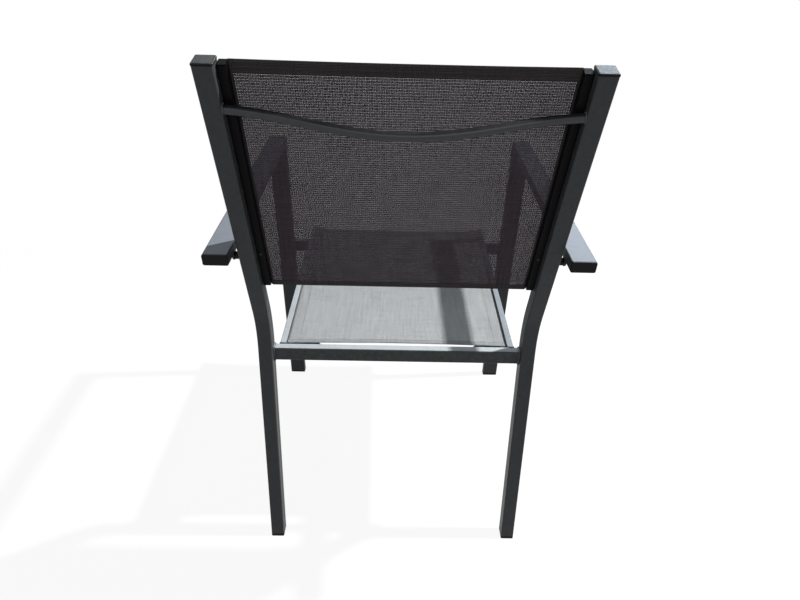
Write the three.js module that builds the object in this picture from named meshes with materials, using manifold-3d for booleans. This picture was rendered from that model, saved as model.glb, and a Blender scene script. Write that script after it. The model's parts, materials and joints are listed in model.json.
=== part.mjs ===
// A stacking patio chair: bent square steel rear tubes, flat steel arms mitred to flat front legs,
// and woven slings for the seat and back, held by spline rods in slotted rails.
// Millimetres, +Z up. The chair faces -Y, so the sitter's left is +X.
import * as THREE from 'three';
import Module from 'manifold-3d';
import { mergeVertices } from 'three/addons/utils/BufferGeometryUtils.js';

const wasm = await Module();
wasm.setup();

// Clearances and cutting
const seamGap = 0.3;            // between pieces that touch, are welded or are pressed in
const cutOverrun = 2;           // how far a cutter runs past the face that it opens
const weldTolerance = 0.001;    // vertices closer than this are one

// Rear tubes, each bent once from the foot to the top of the back
const rearWidth = 490;          // outside to outside
const tubeSize = 25;
const tubeWall = 1.2;
const tubeHeight = 890.5;       // top of the rear face, at its square-cut end
const bendHeight = 450;         // where the rear faces of leg and back would meet
const bendRadius = 177;         // of the rear face
const legLean = THREE.MathUtils.degToRad(11.35);
const backLean = THREE.MathUtils.degToRad(14.57);
const rearFootHeight = 6;

// Crossbars
const crossbarHeight = 27;
const crossbarDepth = 15.5;
const crossbarWall = 1.2;
const crossbarRound = 2.5;
const crossbarTop = 407;        // top face of the rear one
const crossbarInset = 9;        // its rear face ahead of the tube's rear face

// Arms and front legs, one flat tube section mitred at the front corner
const flatWidth = 38;
const flatDepth = 18;
const flatWall = 1.2;
const flatRound = 2.5;
const armSideGap = 6.5;         // between rear tube and arm
const armRearHeight = 628.5;    // top of the arm at its rear end
const armTail = 35.5;           // arm behind the middle of the rear tube
const footSpread = 536;         // rear foot's rear edge to the front leg's front face
const armPitch = THREE.MathUtils.degToRad(3.12);
const frontFootHeight = 6;

// Plastic plugs and caps
const plugStem = 16;
const plugFin = 0.9;            // height of a grip fin's outer ring along the stem
const plugFinPitch = 4.5;
const plugStemInset = 1.1;      // the stem's core inside the fins
const capHead = 3;
const capLip = 0.4;
const capChamfer = 1.2;

// Sling rails, both panels
const railWidth = 11.5;
const railDepth = 16;
const railRound = 1.2;
const railWall = 1.4;
const channelRadius = 3.3;
const channelFromInner = 5.2;   // channel's centre from the rail's inner side
const channelFromFace = 5;      // and from the side that the sitter meets
const slotWidth = 2;
const railCapThickness = 1.5;
const railCapStem = 8;

// Slings
const slingThickness = 1;
const loopThickness = 0.7;      // fabric sewn round the spline rod
const splineRadius = 2;

// Seat panel
const seatWidth = 421.5;        // outside to outside of its rails
const seatPitch = THREE.MathUtils.degToRad(2.4);
const seatOverhang = 34;        // rail front ends ahead of the front legs
const seatSag = 5;
const seatSlingRear = 7;        // bare rail behind the sling

// Back panel
const backRailSetback = 12.5;   // rail's rear side ahead of the tube's rear face
const backRailDrop = 4.5;       // rail's top end below the tube's
const backRailAboveBend = 95;   // rail's lower end above the corner of the bend
const backSag = 1.5;
const backSlingRise = 4.5;      // sling above the rail's top end
const backSlingTail = 10.5;     // and below its lower end

// Bowed bar behind the back
const braceDiameter = 12;
const braceWall = 1;
const braceDrop = 54;           // ends below the top of the tubes
const braceInset = 5.5;         // ends ahead of the tubes' rear faces
const braceBow = 38.5;
const braceFullnessShare = 0.32;    // of the bow that runs straight out from the ends
const braceTilt = THREE.MathUtils.degToRad(15);

// Corner gussets under the seat
const gussetLeg = 66;
const gussetTip = 6;            // width left at a clipped tip
const gussetThickness = 2.5;
const gussetDrop = 10;          // below the top of the crossbar

// Arm fastening: tab, spacer, bolt and threaded insert
const tabThickness = 3;
const tabWidth = 14;
const tabInset = 2;             // inside face from the arm's inner edge
const boltDrop = 6.8;           // bolt axis below the underside of the arm
const boltRadius = 3;
const boltHeadRadius = 5.2;
const boltHeadHeight = 3;
const boltSocketRadius = 2;
const boltSocketDepth = 1.8;
const spacerRadius = 6;
const insertRadius = 4.4;
const insertFlangeRadius = 5.8;
const insertFlange = 0.8;
const insertLength = 11;

// Screw that pins each back spline
const pinHeadRadius = 3.2;
const pinHeadHeight = 1.6;
const pinCrownShare = 0.7;      // of the head's radius
const pinRadius = 1.5;
const pinLength = 6;
const pinRise = 66.5;           // above the rail's lower end

const cornerSteps = 2;
const roundSteps = 20;
const bendSteps = 6;
const braceSteps = 32;
const braceRoundSteps = 8;

// Places that follow from the sizes, in the side view as (y, z).
// y starts at the rear edge of the rear feet, and the whole chair is centred at the end.
const legUp = new THREE.Vector2(-Math.sin(legLean), Math.cos(legLean));
const legForward = new THREE.Vector2(-Math.cos(legLean), -Math.sin(legLean));
const backUp = new THREE.Vector2(Math.sin(backLean), Math.cos(backLean));
const backForward = new THREE.Vector2(-Math.cos(backLean), Math.sin(backLean));
const bendCorner = new THREE.Vector2(-bendHeight * Math.tan(legLean), bendHeight);
const backLength = (tubeHeight - bendHeight) / Math.cos(backLean);
const tubeTop = bendCorner.clone().addScaledVector(backUp, backLength);
const tubeMiddle = tubeTop.clone().addScaledVector(backForward, tubeSize / 2);
const tubeCentreX = (rearWidth - tubeSize) / 2;
const tubeInnerX = rearWidth / 2 - tubeSize;
const backRailLength = backLength - backRailDrop - backRailAboveBend;
const backSlingLength = backSlingRise + backRailLength + backSlingTail;
const crossbarRearY = -crossbarTop * Math.tan(legLean) - crossbarInset;
const crossbarFrontY = crossbarRearY - crossbarDepth;
const legFrontY = -footSpread;
const armRearY = tubeMiddle.x - (tubeMiddle.y - armRearHeight) * Math.tan(backLean) + armTail;
const armReach = armRearY - legFrontY;
const armInnerX = rearWidth / 2 + armSideGap;
const armCentreX = armInnerX + flatWidth / 2;
const seatFrontY = legFrontY - seatOverhang;
const seatRailLength = (crossbarFrontY - seamGap - seatFrontY) / Math.cos(seatPitch)
  - railCapThickness - seamGap;
const frontBarDepthInset = (flatDepth - crossbarDepth) / 2;
const frontBarRearY = legFrontY + flatDepth - frontBarDepthInset;
const frontBarTop = crossbarTop + (crossbarFrontY - frontBarRearY) * Math.tan(seatPitch)
  - railDepth / Math.cos(seatPitch) - seamGap;

// Materials
const powderCoat = new THREE.MeshStandardMaterial({ color: 0x3a3c40, metalness: 0.35, roughness: 0.5 });
const railCoat = new THREE.MeshStandardMaterial({ color: 0x0f0f11, metalness: 0.2, roughness: 0.5 });
const plugPlastic = new THREE.MeshStandardMaterial({ color: 0x17181a, metalness: 0, roughness: 0.6 });
const backMesh = new THREE.MeshStandardMaterial({ color: 0x383339, metalness: 0, roughness: 0.75 });
const seatMesh = new THREE.MeshStandardMaterial({ color: 0x9ea2a6, metalness: 0, roughness: 0.75 });
const splineVinyl = new THREE.MeshStandardMaterial({ color: 0x202124, metalness: 0, roughness: 0.55 });
const zincSteel = new THREE.MeshStandardMaterial({ color: 0x8a8c90, metalness: 0.9, roughness: 0.4 });
const blackSteel = new THREE.MeshStandardMaterial({ color: 0x202124, metalness: 0.9, roughness: 0.5 });

// Solids: a closed geometry becomes a manifold for cutting and joining, and comes back as a geometry.
function solidOf(geometry) {
  const bare = geometry.clone();
  bare.deleteAttribute('normal');
  bare.deleteAttribute('uv');
  const merged = mergeVertices(bare, weldTolerance);
  const vertProperties = Float32Array.from(merged.attributes.position.array);
  const triVerts = Uint32Array.from(merged.index.array);
  return new wasm.Manifold(new wasm.Mesh({ numProp: 3, vertProperties, triVerts }));
}

function geometryOf(solid) {
  const mesh = solid.getMesh();
  const geometry = new THREE.BufferGeometry();
  geometry.setAttribute('position', new THREE.BufferAttribute(mesh.vertProperties, 3));
  geometry.setIndex(new THREE.BufferAttribute(mesh.triVerts, 1));
  geometry.computeVertexNormals();
  return geometry;
}

function cut(body, ...cutters) {
  return geometryOf(cutters.reduce((solid, cutter) => solid.subtract(solidOf(cutter)), solidOf(body)));
}

function join(...bodies) {
  const [first, ...rest] = bodies.map(solidOf);
  return geometryOf(rest.reduce((solid, body) => solid.add(body), first));
}

function common(first, second) {
  return geometryOf(solidOf(first).intersect(solidOf(second)));
}

function extrude(shape, length, curveSegments = roundSteps / 2) {
  return new THREE.ExtrudeGeometry(shape, { depth: length, bevelEnabled: false, steps: 1, curveSegments });
}

// A side-view outline in (y, z), given its width across the chair and centred on x = 0.
const sideViewBasis = new THREE.Matrix4().makeBasis(
  new THREE.Vector3(0, 1, 0), new THREE.Vector3(0, 0, 1), new THREE.Vector3(1, 0, 0));

function acrossChair(shape, width, curveSegments = roundSteps / 2) {
  return extrude(shape, width, curveSegments).translate(0, 0, -width / 2).applyMatrix4(sideViewBasis);
}

function outline(points) {
  return new THREE.Shape(points);
}

function roundedRectangle(width, height, radius, PathType = THREE.Shape) {
  const x = width / 2 - radius;
  const y = height / 2 - radius;
  const path = new PathType();
  path.absarc(x, y, radius, 0, Math.PI / 2);
  path.absarc(-x, y, radius, Math.PI / 2, Math.PI);
  path.absarc(-x, -y, radius, Math.PI, Math.PI * 1.5);
  path.absarc(x, -y, radius, Math.PI * 1.5, Math.PI * 2);
  path.closePath();
  return path;
}

function tubeSection(width, height, radius, wall) {
  const section = roundedRectangle(width, height, radius);
  const innerRadius = Math.max(radius - wall, wall / 2);
  section.holes.push(roundedRectangle(width - 2 * wall, height - 2 * wall, innerRadius, THREE.Path));
  return section;
}

// A rod or hole along +Z, from z = 0.
function rod(radius, length) {
  return new THREE.CylinderGeometry(radius, radius, length, roundSteps).rotateX(Math.PI / 2)
    .translate(0, 0, length / 2);
}

// The same rod turned to run along X, centred on x = 0.
function crossRod(radius, length) {
  return rod(radius, length).translate(0, 0, -length / 2).rotateY(Math.PI / 2);
}

function revolve(points) {
  return new THREE.LatheGeometry(points, roundSteps).rotateX(Math.PI / 2);
}

function piece(name, geometry, material, x = 0, y = 0, z = 0) {
  const mesh = new THREE.Mesh(geometry, material);
  mesh.name = name;
  mesh.position.set(x, y, z);
  return mesh;
}

const sides = [{ name: 'left', sign: 1 }, { name: 'right', sign: -1 }];

// The rear tube's side view between two depths from its rear face, from a level cut at the foot
// to a square cut past its top.
function bentBand(nearDepth, farDepth, footLevel, topExtra) {
  const halfAngle = (Math.PI - legLean - backLean) / 2;
  const tangent = bendRadius / Math.tan(halfAngle);
  const lower = bendCorner.clone().addScaledVector(legUp, -tangent);
  const upper = bendCorner.clone().addScaledVector(backUp, tangent);
  const centre = lower.clone().addScaledVector(legForward, -bendRadius);
  const lowerAngle = Math.atan2(lower.y - centre.y, lower.x - centre.x);
  const upperAngle = Math.atan2(upper.y - centre.y, upper.x - centre.x);
  const footY = (depth) => -footLevel * Math.tan(legLean) - depth / Math.cos(legLean);
  const top = (depth) => tubeTop.clone().addScaledVector(backForward, depth)
    .addScaledVector(backUp, topExtra);
  const band = new THREE.Shape();
  band.moveTo(footY(nearDepth), footLevel);
  band.lineTo(lower.x + nearDepth * legForward.x, lower.y + nearDepth * legForward.y);
  band.absarc(centre.x, centre.y, bendRadius + nearDepth, lowerAngle, upperAngle, true);
  band.lineTo(top(nearDepth).x, top(nearDepth).y);
  band.lineTo(top(farDepth).x, top(farDepth).y);
  band.absarc(centre.x, centre.y, bendRadius + farDepth, upperAngle, lowerAngle, false);
  band.lineTo(footY(farDepth), footLevel);
  band.closePath();
  return band;
}

// Where the arm bolt crosses the middle of the rear tube, under the arm.
function armUndersideAt(y) {
  return armRearHeight - flatDepth / Math.cos(armPitch) + (armRearY - y) * Math.tan(armPitch);
}

function boltPlace() {
  const climb = Math.tan(backLean) * Math.tan(armPitch);
  const level = armUndersideAt(tubeMiddle.x) - boltDrop / Math.cos(armPitch);
  const z = (level + climb * tubeMiddle.y) / (1 + climb);
  return new THREE.Vector2(tubeMiddle.x + (z - tubeMiddle.y) * Math.tan(backLean), z);
}

const bolt = boltPlace();

// Rear tube, with a hole in its outer wall for the threaded insert.
function rearLeg(side) {
  const outer = acrossChair(bentBand(0, tubeSize, rearFootHeight, 0), tubeSize, bendSteps);
  const bore = acrossChair(bentBand(tubeWall, tubeSize - tubeWall, rearFootHeight - cutOverrun, cutOverrun),
    tubeSize - 2 * tubeWall, bendSteps);
  const insertHole = crossRod(insertRadius + seamGap, 2 * (tubeWall + cutOverrun))
    .translate(side.sign * tubeSize / 2, bolt.x, bolt.y);
  return piece(`rear_leg_${side.name}`, cut(outer, bore, insertHole), powderCoat, side.sign * tubeCentreX);
}

// A square plug's stem, with grip fins, standing on z = 0 and running down.
function finnedStem(width, depth, round) {
  const core = extrude(roundedRectangle(width - 2 * plugStemInset, depth - 2 * plugStemInset, round),
    plugStem, cornerSteps).translate(0, 0, -plugStem);
  const fins = [];
  for (let level = plugFinPitch; level < plugStem; level += plugFinPitch) {
    fins.push(extrude(roundedRectangle(width, depth, round), plugFin, cornerSteps).translate(0, 0, -level));
  }
  return join(core, ...fins);
}

// Top plug of a rear tube: a chamfered head from two crossed outlines, on a finned stem.
function uprightCap(side) {
  const size = tubeSize + 2 * capLip;
  const half = size / 2;
  const profile = outline([
    new THREE.Vector2(-half, 0), new THREE.Vector2(half, 0), new THREE.Vector2(half, capHead - capChamfer),
    new THREE.Vector2(half - capChamfer, capHead), new THREE.Vector2(capChamfer - half, capHead),
    new THREE.Vector2(-half, capHead - capChamfer)]);
  const alongX = extrude(profile, size).translate(0, 0, -half).rotateX(Math.PI / 2);
  const alongY = alongX.clone().rotateZ(Math.PI / 2);
  const inside = tubeSize - 2 * tubeWall - 2 * seamGap;
  const stem = finnedStem(inside, inside, tubeWall).translate(0, 0, weldTolerance);
  return piece(`upright_cap_${side.name}`, join(common(alongX, alongY), stem), plugPlastic,
    side.sign * tubeCentreX, -tubeSize / 2, seamGap);
}

// Rear foot: its sole is level on the ground and its stem leans with the leg.
function rearFoot(side) {
  const bandTop = rearFootHeight - seamGap;
  const edge = (depth, level) => new THREE.Vector2(
    -level * Math.tan(legLean) - depth / Math.cos(legLean), level);
  const sole = acrossChair(outline([
    edge(0, 0), edge(0, bandTop), edge(tubeSize, bandTop), edge(tubeSize, 0)]), tubeSize);
  const inset = tubeWall + seamGap;
  const stemTop = bandTop + plugStem;
  const stem = acrossChair(outline([edge(inset, bandTop - plugFin), edge(inset, stemTop),
    edge(tubeSize - inset, stemTop), edge(tubeSize - inset, bandTop - plugFin)]), tubeSize - 2 * inset);
  return piece(`rear_foot_${side.name}`, join(sole, stem), plugPlastic, side.sign * tubeCentreX);
}

function rearCrossbar() {
  const length = 2 * (tubeInnerX - seamGap);
  const section = tubeSection(crossbarDepth, crossbarHeight, crossbarRound, crossbarWall);
  const bar = acrossChair(section, length, cornerSteps);
  return piece('rear_crossbar', bar, powderCoat,
    0, crossbarRearY - crossbarDepth / 2, crossbarTop - crossbarHeight / 2);
}

function frontCrossbar() {
  const length = 2 * (armInnerX - seamGap);
  const section = tubeSection(crossbarDepth, crossbarHeight, crossbarRound, crossbarWall);
  const bar = acrossChair(section, length, cornerSteps);
  return piece('front_crossbar', bar, powderCoat,
    0, frontBarRearY - crossbarDepth / 2, frontBarTop - crossbarHeight / 2);
}

// Front corner of the arm and leg in the side view, and the way the mitre runs from it.
const mitreOuter = new THREE.Vector2(legFrontY, armRearHeight + armReach * Math.tan(armPitch));
const mitreWay = new THREE.Vector2(Math.cos(armPitch), -Math.sin(armPitch) - 1).normalize();
const mitreSide = new THREE.Vector2(-mitreWay.y, mitreWay.x);
const mitreInner = mitreOuter.clone().addScaledVector(mitreWay,
  flatDepth / Math.cos(Math.PI / 4 + armPitch / 2));

// The arm's flat tube, mitred at the front and square at the rear.
function armrest(side) {
  const length = armReach / Math.cos(armPitch) + flatDepth;
  const section = tubeSection(flatWidth, flatDepth, flatRound, flatWall);
  const tube = extrude(section, length + cutOverrun, cornerSteps).rotateX(Math.PI / 2)
    .translate(0, cutOverrun, -flatDepth / 2).rotateX(-armPitch).translate(0, armRearY, armRearHeight);
  const gapHere = mitreSide.clone().multiplyScalar(seamGap / 2);
  const start = new THREE.Vector2(armRearY, armRearHeight);
  const down = new THREE.Vector2(-Math.sin(armPitch), -Math.cos(armPitch));
  const clear = down.clone().multiplyScalar(cutOverrun);
  const past = mitreWay.clone().multiplyScalar(cutOverrun);
  const silhouette = acrossChair(outline([
    start.clone().sub(clear), mitreOuter.clone().add(gapHere).sub(past),
    mitreInner.clone().add(gapHere).add(past), start.clone().addScaledVector(down, flatDepth).add(clear)]),
    flatWidth + 2 * cutOverrun);
  return piece(`armrest_${side.name}`, common(tube, silhouette), powderCoat, side.sign * armCentreX);
}

// The front leg's flat tube, from its foot up to the mitre.
function frontLeg(side) {
  const section = tubeSection(flatWidth, flatDepth, flatRound, flatWall);
  const tube = extrude(section, mitreOuter.y, cornerSteps).translate(0, legFrontY + flatDepth / 2, 0);
  const gapHere = mitreSide.clone().multiplyScalar(-seamGap / 2);
  const past = mitreWay.clone().multiplyScalar(cutOverrun);
  const silhouette = acrossChair(outline([
    mitreOuter.clone().add(gapHere).sub(past), mitreInner.clone().add(gapHere).add(past),
    new THREE.Vector2(legFrontY + flatDepth + cutOverrun, frontFootHeight),
    new THREE.Vector2(legFrontY - cutOverrun, frontFootHeight)]), flatWidth + 2 * cutOverrun);
  return piece(`front_leg_${side.name}`, common(tube, silhouette), powderCoat, side.sign * armCentreX);
}

// A plug for the flat tube: a head as wide as the tube, on a finned stem that runs up from z = 0.
function flatPlug(headHeight) {
  const head = extrude(roundedRectangle(flatWidth, flatDepth, flatRound), headHeight, cornerSteps)
    .translate(0, 0, -headHeight);
  const inset = 2 * (flatWall + seamGap);
  const stem = finnedStem(flatWidth - inset, flatDepth - inset, flatRound - flatWall).rotateX(Math.PI)
    .translate(0, 0, -weldTolerance);
  return join(head, stem);
}

function frontFoot(side) {
  const headHeight = frontFootHeight - seamGap;
  return piece(`front_foot_${side.name}`, flatPlug(headHeight), plugPlastic,
    side.sign * armCentreX, legFrontY + flatDepth / 2, headHeight);
}

function armrestEndCap(side) {
  const plug = flatPlug(capHead).rotateX(Math.PI / 2).translate(0, seamGap, -flatDepth / 2);
  const cap = piece(`armrest_end_cap_${side.name}`, plug, plugPlastic, side.sign * armCentreX, armRearY,
    armRearHeight);
  cap.rotation.x = -armPitch;
  return cap;
}

// Tab welded under the arm: a flat lug with a round lower end about the bolt.
function armTab(side) {
  const top = (y) => armUndersideAt(y) - seamGap;
  const halfWidth = tabWidth / 2;
  const lug = new THREE.Shape();
  lug.moveTo(bolt.x + halfWidth, top(bolt.x + halfWidth));
  lug.lineTo(bolt.x - halfWidth, top(bolt.x - halfWidth));
  lug.lineTo(bolt.x - halfWidth, bolt.y);
  lug.absarc(bolt.x, bolt.y, halfWidth, Math.PI, Math.PI * 2);
  lug.closePath();
  const hole = new THREE.Path();
  hole.absarc(bolt.x, bolt.y, boltRadius + seamGap, 0, Math.PI * 2);
  lug.holes.push(hole);
  return piece(`armrest_tab_${side.name}`, acrossChair(lug, tabThickness), powderCoat,
    side.sign * (armInnerX + tabInset + tabThickness / 2));
}

// Bolt stack along X: insert in the tube's outer wall, spacer, tab, bolt head outside.
const tabInnerFace = armInnerX + tabInset;
const insertOuterFace = rearWidth / 2 + seamGap + insertFlange;
const spacerLength = tabInnerFace - insertOuterFace - 2 * seamGap;
const boltHeadFace = tabInnerFace + tabThickness + seamGap;
const boltLength = boltHeadFace - insertOuterFace + insertLength - insertFlange;

function alongX(geometry, side) {
  return geometry.rotateY(side.sign * Math.PI / 2);
}

function armSpacer(side) {
  const ring = cut(rod(spacerRadius, spacerLength),
    rod(boltRadius + seamGap, spacerLength + 2 * cutOverrun).translate(0, 0, -cutOverrun));
  return piece(`armrest_spacer_${side.name}`, alongX(ring, side), plugPlastic,
    side.sign * (insertOuterFace + seamGap), bolt.x, bolt.y);
}

function armInsert(side) {
  const flange = rod(insertFlangeRadius, insertFlange).translate(0, 0, -insertFlange);
  const barrel = rod(insertRadius, insertLength).translate(0, 0, -insertLength);
  const bore = rod(boltRadius + seamGap, insertLength + 2 * cutOverrun)
    .translate(0, 0, -insertLength - cutOverrun);
  return piece(`armrest_insert_${side.name}`, alongX(cut(join(flange, barrel), bore), side), zincSteel,
    side.sign * insertOuterFace, bolt.x, bolt.y);
}

function armBolt(side) {
  const shank = rod(boltRadius, boltLength + boltHeadHeight / 4).translate(0, 0, -boltLength);
  const dome = new THREE.EllipseCurve(0, 0, boltHeadRadius, boltHeadHeight, 0, Math.PI / 2);
  const head = revolve([new THREE.Vector2(0, 0), ...dome.getPoints(cornerSteps * 2).slice(0, -1),
    new THREE.Vector2(0, boltHeadHeight)]);
  const socketLength = boltSocketDepth + cutOverrun;
  const socket = new THREE.CylinderGeometry(boltSocketRadius, boltSocketRadius, socketLength, 6)
    .rotateX(Math.PI / 2).translate(0, 0, boltHeadHeight - boltSocketDepth + socketLength / 2);
  return piece(`armrest_bolt_${side.name}`, alongX(cut(join(head, shank), socket), side), zincSteel,
    side.sign * boltHeadFace, bolt.x, bolt.y);
}

// A panel is a sling with its rails, drawn with x across, y out of the side that the sitter meets
// and z along the rails from their first end.
function channelX(outerX) {
  return outerX - railWidth + channelFromInner;
}

function railSection(side, outerX) {
  const at = (fromOuter, fromFace) => new THREE.Vector2(side.sign * (outerX - fromOuter), -fromFace);
  const rail = roundedRectangle(railWidth, railDepth, railRound);
  const boxDepth = railDepth - channelFromFace - channelRadius - 2 * railWall;
  const boxWidth = railWidth - 2 * railWall;
  const box = roundedRectangle(boxWidth, boxDepth, railWall / 2);
  const middle = at(railWidth / 2, railDepth / 2);
  const boxMiddle = at(railWidth / 2, railDepth - railWall - boxDepth / 2);
  return {
    body: rail, middle, box, boxMiddle, boxWidth, boxDepth,
    channel: new THREE.Vector2(side.sign * channelX(outerX), -channelFromFace),
  };
}

function railGeometry(side, outerX, length) {
  const section = railSection(side, outerX);
  const body = extrude(section.body, length, cornerSteps).translate(section.middle.x, section.middle.y, 0);
  const runLength = length + 2 * cutOverrun;
  const box = extrude(section.box, runLength, cornerSteps)
    .translate(section.boxMiddle.x, section.boxMiddle.y, -cutOverrun);
  const channel = rod(channelRadius, runLength).translate(section.channel.x, section.channel.y, -cutOverrun);
  const slotReach = channelFromInner + cutOverrun;
  const slot = new THREE.BoxGeometry(slotReach, slotWidth, runLength)
    .translate(section.channel.x - side.sign * slotReach / 2, section.channel.y, length / 2);
  return cut(body, box, channel, slot);
}

// End plug of a rail: a plate over the whole end, and a stem in the box below the channel.
function railCapGeometry(side, outerX) {
  const section = railSection(side, outerX);
  const plate = extrude(section.body, railCapThickness, cornerSteps)
    .translate(section.middle.x, section.middle.y, 0);
  const stem = extrude(roundedRectangle(section.boxWidth - 2 * seamGap, section.boxDepth - 2 * seamGap,
    railWall / 2), railCapStem + railCapThickness, cornerSteps)
    .translate(section.boxMiddle.x, section.boxMiddle.y, 0);
  return join(plate, stem);
}

function splineGeometry(side, outerX, length) {
  return rod(splineRadius, length).translate(side.sign * channelX(outerX), -channelFromFace, 0);
}

// The sling: a sheet that dips between the rails, and at each side a loop sewn round the spline rod.
function slingGeometry(outerX, loopLength, sheetStart, sheetLength, sag) {
  const innerX = outerX - railWidth;
  const loopX = channelX(outerX);
  const half = slingThickness / 2;
  const level = -channelFromFace;
  const sheetEdge = innerX - seamGap;
  const sheet = new THREE.Shape();
  sheet.moveTo(-sheetEdge, level - half);
  sheet.quadraticCurveTo(0, level - half - 2 * sag, sheetEdge, level - half);
  sheet.lineTo(sheetEdge, level + half);
  sheet.quadraticCurveTo(0, level + half - 2 * sag, -sheetEdge, level + half);
  sheet.closePath();
  const bodies = [extrude(sheet, sheetLength).translate(0, 0, sheetStart)];
  const loopInner = splineRadius + seamGap;
  const loopOuter = loopInner + loopThickness;
  for (const { sign } of sides) {
    const tongueFrom = sheetEdge - slingThickness;
    const tongueTo = loopX - loopInner - loopThickness / 2;
    const tongueWidth = tongueTo - tongueFrom;
    bodies.push(new THREE.BoxGeometry(tongueWidth, slingThickness, loopLength)
      .translate(sign * (tongueFrom + tongueWidth / 2), level, loopLength / 2));
    const loop = cut(rod(loopOuter, loopLength),
      rod(loopInner, loopLength + 2 * cutOverrun).translate(0, 0, -cutOverrun));
    bodies.push(loop.translate(sign * loopX, level, 0));
  }
  return join(...bodies);
}

function pinScrewGeometry() {
  const head = revolve([new THREE.Vector2(0, -pinHeadHeight),
    new THREE.Vector2(pinHeadRadius * pinCrownShare, -pinHeadHeight),
    new THREE.Vector2(pinHeadRadius, 0), new THREE.Vector2(0, 0)]);
  return join(head, rod(pinRadius, pinLength + weldTolerance).translate(0, 0, -weldTolerance));
}

// Seat panel: its rails butt on the rear crossbar and rest on the front one.
function seatPanel() {
  const panel = new THREE.Group();
  panel.position.set(0, crossbarFrontY - seamGap, crossbarTop);
  panel.rotation.x = Math.PI / 2 - seatPitch;
  const outerX = seatWidth / 2;
  const loopLength = seatRailLength - seatSlingRear;
  for (const side of sides) {
    panel.add(piece(`seat_rail_${side.name}`, railGeometry(side, outerX, seatRailLength), powderCoat));
    const cap = railCapGeometry(side, outerX).translate(0, 0, -railCapThickness).scale(1, 1, -1);
    panel.add(piece(`seat_rail_cap_${side.name}`, faceOut(cap), plugPlastic,
      0, 0, seatRailLength + seamGap));
    panel.add(piece(`seat_spline_${side.name}`, splineGeometry(side, outerX, loopLength), splineVinyl,
      0, 0, seatSlingRear));
  }
  panel.add(piece('seat_sling', slingGeometry(outerX, loopLength, 0, loopLength, seatSag), seatMesh,
    0, 0, seatSlingRear));
  return panel;
}

// A mirrored geometry's triangles turned round, so that they face out again.
function faceOut(geometry) {
  const index = geometry.index.array;
  for (let i = 0; i < index.length; i += 3) {
    [index[i], index[i + 1]] = [index[i + 1], index[i]];
  }
  geometry.computeVertexNormals();
  return geometry;
}

// Back panel: its rails stand against the inner sides of the rear tubes.
function backPanel() {
  const panel = new THREE.Group();
  const faceDepth = backRailSetback + railDepth;
  const start = tubeTop.clone().addScaledVector(backForward, faceDepth)
    .addScaledVector(backUp, -backRailDrop);
  panel.position.set(0, start.x, start.y);
  panel.rotation.x = Math.PI - backLean;
  const outerX = tubeInnerX - seamGap;
  const screwX = outerX - railWidth / 2;
  for (const side of sides) {
    const screwHole = rod(pinRadius + seamGap, railWall + 2 * cutOverrun).rotateX(-Math.PI / 2)
      .translate(side.sign * screwX, -railDepth - cutOverrun, backRailLength - pinRise);
    const rail = cut(railGeometry(side, outerX, backRailLength), screwHole);
    panel.add(piece(`back_rail_${side.name}`, rail, railCoat));
    panel.add(piece(`back_rail_top_cap_${side.name}`, railCapGeometry(side, outerX), plugPlastic,
      0, 0, -railCapThickness - seamGap));
    const lower = faceOut(railCapGeometry(side, outerX).scale(1, 1, -1));
    panel.add(piece(`back_rail_bottom_cap_${side.name}`, lower, plugPlastic,
      0, 0, backRailLength + seamGap + railCapThickness));
    panel.add(piece(`back_spline_${side.name}`, splineGeometry(side, outerX, backRailLength), splineVinyl));
    const screw = pinScrewGeometry().rotateX(-Math.PI / 2);
    panel.add(piece(`back_rail_screw_${side.name}`, screw, blackSteel,
      side.sign * screwX, -railDepth - seamGap, backRailLength - pinRise));
  }
  const sling = slingGeometry(outerX, backRailLength, -backSlingRise, backSlingLength, backSag);
  panel.add(piece('back_sling', sling, backMesh));
  return panel;
}

// The bar's centre line, bowed back and down between its ends. It runs a little past both tubes.
class BraceLine extends THREE.Curve {
  getPoint(share, target = new THREE.Vector3()) {
    const x = (tubeInnerX + cutOverrun) * (2 * share - 1);
    const turn = Math.PI * (1 + x / tubeInnerX) / 2;
    const bow = braceBow * (braceFullnessShare * Math.sin(turn)
      + (1 - braceFullnessShare) * (1 - Math.cos(2 * turn)) / 2);
    return target.set(x, bow * Math.cos(braceTilt), -bow * Math.sin(braceTilt));
  }
}

function backBrace() {
  const section = new THREE.Shape();
  section.absarc(0, 0, braceDiameter / 2, 0, Math.PI * 2);
  const bore = new THREE.Path();
  bore.absarc(0, 0, braceDiameter / 2 - braceWall, 0, Math.PI * 2);
  section.holes.push(bore);
  const bar = new THREE.ExtrudeGeometry(section, {
    steps: braceSteps, curveSegments: braceRoundSteps, extrudePath: new BraceLine(), bevelEnabled: false,
  });
  const reach = 2 * (braceBow + braceDiameter);
  const between = new THREE.BoxGeometry(2 * (tubeInnerX - seamGap), reach, reach);
  const group = new THREE.Group();
  group.position.set(0, tubeTop.x, tubeTop.y);
  group.rotation.x = -backLean;
  group.add(piece('back_brace', common(bar, between), powderCoat, 0, -braceInset, -braceDrop));
  return group;
}

// Gusset in the rear corner of the seat frame, a plate with clipped tips.
function seatGusset(side) {
  const innerX = seatWidth / 2 - railWidth - seamGap;
  const frontY = crossbarFrontY - seamGap;
  const at = (inward, forward) => new THREE.Vector2(side.sign * (innerX - inward), frontY - forward);
  const plate = outline([at(0, 0), at(gussetLeg, 0), at(gussetLeg, gussetTip), at(gussetTip, gussetLeg),
    at(0, gussetLeg)]);
  return piece(`seat_gusset_${side.name}`, extrude(plate, gussetThickness), powderCoat,
    0, 0, crossbarTop - gussetDrop - gussetThickness);
}

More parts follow.
